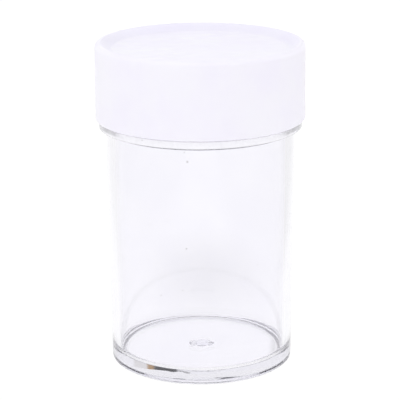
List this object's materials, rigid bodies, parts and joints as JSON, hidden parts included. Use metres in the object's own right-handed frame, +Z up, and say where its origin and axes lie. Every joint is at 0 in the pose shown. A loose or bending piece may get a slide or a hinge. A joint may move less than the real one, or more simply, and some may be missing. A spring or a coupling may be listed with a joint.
{
  "type": "gold sample vial",
  "caption": "Clear straight-sided plastic vial with a smooth white screw cap and a foam sealing disc, for carrying gold flakes and fine concentrates.",
  "frame": {"origin": "centre of the vial's foot, on the surface it stands on", "axes": "+Z up along the vial's axis towards the cap; X and Y are alike, with the vial's thread starting on +X"},
  "size_m": [0.036, 0.036, 0.0563],
  "materials": {
    "clear_plastic": "crystal-clear injection-moulded polystyrene, polished, with a moulded ring and gate mark",
    "cap_plastic": "smooth, slightly waxy translucent white polypropylene with a faint lavender cast and fine scuffs on the top",
    "liner_foam": "fine closed-cell polyethylene foam"
  },
  "bodies": {
    "vial": {"vial_body": "clear_plastic"},
    "liner": {"cap_liner": "liner_foam"},
    "cap": {"screw_cap": "cap_plastic"}
  },
  "joints": [
    {"name": "cap_lift", "type": "slide", "parent": "vial", "child": "liner", "axis": [0, 0, 1], "range_m": [0, 0.016]},
    {"name": "cap_turn", "type": "hinge", "parent": "liner", "child": "cap", "pos_m": [0, 0, 0.0535], "axis": [0, 0, 1], "range_deg": [0, 1800]}
  ],
  "couplings": [
    {"joint": "cap_lift", "follows": "cap_turn", "m_per_rad": 0.0005093}
  ]
}
